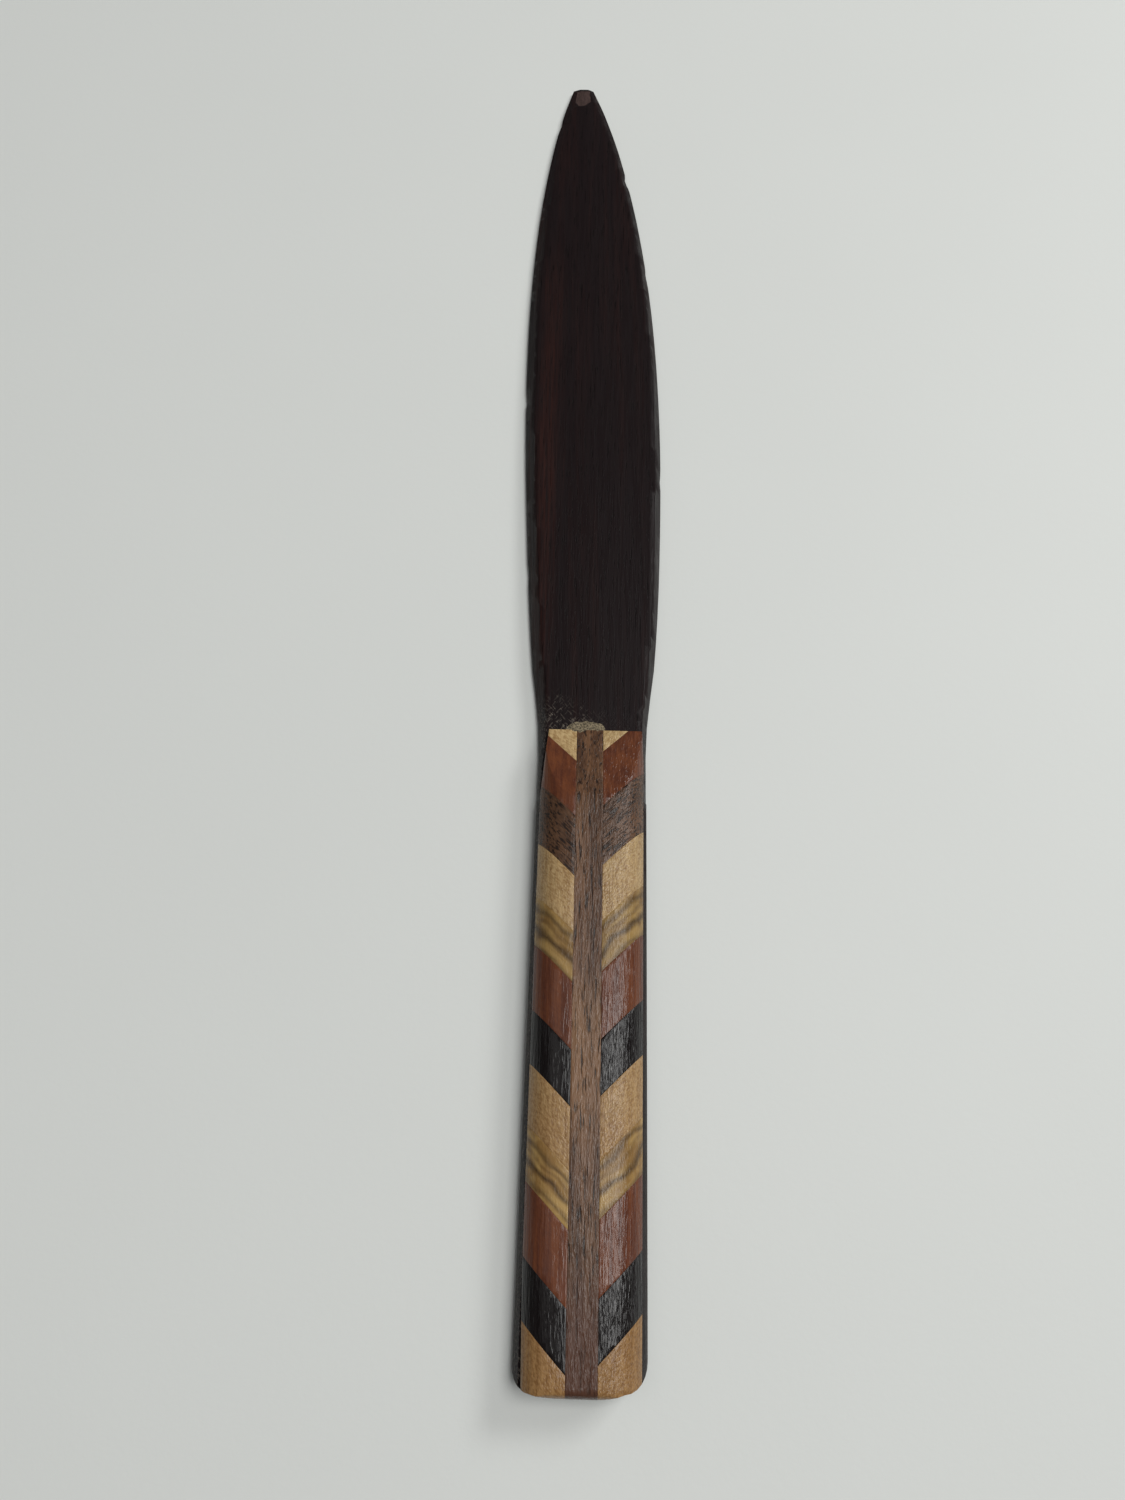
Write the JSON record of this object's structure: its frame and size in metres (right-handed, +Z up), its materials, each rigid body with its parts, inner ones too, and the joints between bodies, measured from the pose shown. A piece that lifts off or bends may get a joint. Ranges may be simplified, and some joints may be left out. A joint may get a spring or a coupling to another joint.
{
  "type": "letter opener",
  "caption": "Wooden letter opener: a dark, leaf-shaped blade with bevelled edges and a flat handle faced with a chevron marquetry of small woods.",
  "frame": {"origin": "on the flat underside, at the middle of the box that holds the letter opener", "axes": "+Y from the butt of the handle to the tip of the blade, +X to the right seen from above with the tip away, +Z up out of the inlaid face"},
  "size_m": [0.0242, 0.235, 0.007],
  "materials": {
    "blade_wood": "dark tropical hardwood, sanded and oiled, low sheen",
    "walnut": "open-pored walnut, satin",
    "maple": "pale fine-grained wood, satin",
    "redwood": "red-brown hardwood, satin",
    "olive_wood": "golden wood with dark streaks, satin",
    "ebony": "near-black wood, satin"
  },
  "bodies": {
    "root": {"blade_tang": "blade_wood", "spine_strip": "walnut", "left_maple_butt": "maple", "left_ebony_lower": "ebony", "left_red_lower": "redwood", "left_olive_lower": "olive_wood", "left_maple_lower": "maple", "left_ebony_upper": "ebony", "left_red_middle": "redwood", "left_olive_upper": "olive_wood", "left_maple_upper": "maple", "left_walnut": "walnut", "left_red_front": "redwood", "left_maple_front": "maple", "right_maple_butt": "maple", "right_ebony_lower": "ebony", "right_red_lower": "redwood", "right_olive_lower": "olive_wood", "right_maple_lower": "maple", "right_ebony_upper": "ebony", "right_red_middle": "redwood", "right_olive_upper": "olive_wood", "right_maple_upper": "maple", "right_walnut": "walnut", "right_red_front": "redwood", "right_maple_front": "maple"}
  },
  "joints": []
}
